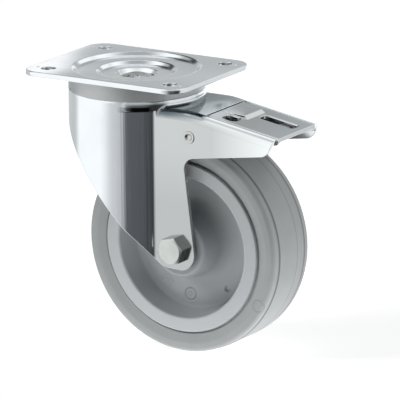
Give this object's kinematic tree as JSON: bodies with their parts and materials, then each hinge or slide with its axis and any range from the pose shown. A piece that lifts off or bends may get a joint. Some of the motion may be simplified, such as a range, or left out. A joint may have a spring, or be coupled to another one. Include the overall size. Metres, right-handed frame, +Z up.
{
  "type": "swivel castor",
  "caption": "Top-plate swivel castor with a rubber-tyred wheel and a foot pedal that locks wheel and swivel.",
  "frame": {"origin": "swivel axis at the top plate's upper face", "axes": "+Z up out of the plate, +X in the trailing direction towards the pedal, Y along the wheel's axle"},
  "size_m": [0.2057, 0.108, 0.205],
  "materials": {
    "zinc_plated_sheet": "bright zinc plating",
    "zinc_plated_fastener": "satin zinc plating",
    "bearing_steel": "polished",
    "spring_steel": "dull",
    "ring_plastic": "matt moulded",
    "wheel_plastic": "fine satin moulded",
    "tyre_rubber": "matt moulded",
    "bearing_plastic": "matt moulded",
    "brake_lining": "matt"
  },
  "bodies": {
    "mount_plate": {"top_plate": "zinc_plated_sheet", "kingpin": "zinc_plated_fastener", "lower_race": "bearing_steel", "lock_ring": "spring_steel"},
    "fork": {"fork": "zinc_plated_sheet", "dust_ring": "ring_plastic", "upper_balls": "bearing_steel", "lower_balls": "bearing_steel", "axle_bolt": "zinc_plated_fastener", "axle_washer": "zinc_plated_fastener", "axle_nut": "zinc_plated_fastener", "axle_sleeve": "bearing_steel", "pedal_pin": "zinc_plated_fastener", "pivot_spacers": "bearing_plastic"},
    "wheel": {"tyre": "tyre_rubber", "wheel_rim": "wheel_plastic", "roller_cage": "bearing_plastic", "rollers": "bearing_steel", "bearing_cover_near": "bearing_plastic", "bearing_cover_far": "bearing_plastic"},
    "pedal": {"brake_pedal": "zinc_plated_sheet", "brake_leaf": "spring_steel", "brake_shoe": "brake_lining"}
  },
  "joints": [
    {"name": "swivel", "type": "hinge", "parent": "mount_plate", "child": "fork", "pos_m": [0, 0, 0], "axis": [0, 0, 1], "continuous": true},
    {"name": "wheel_spin", "type": "hinge", "parent": "fork", "child": "wheel", "pos_m": [0.0525, 0, -0.125], "axis": [0, 1, 0], "continuous": true},
    {"name": "pedal_press", "type": "hinge", "parent": "fork", "child": "pedal", "pos_m": [0.0656, 0, -0.0389], "axis": [0, 1, 0], "range_deg": [0, 12]}
  ]
}
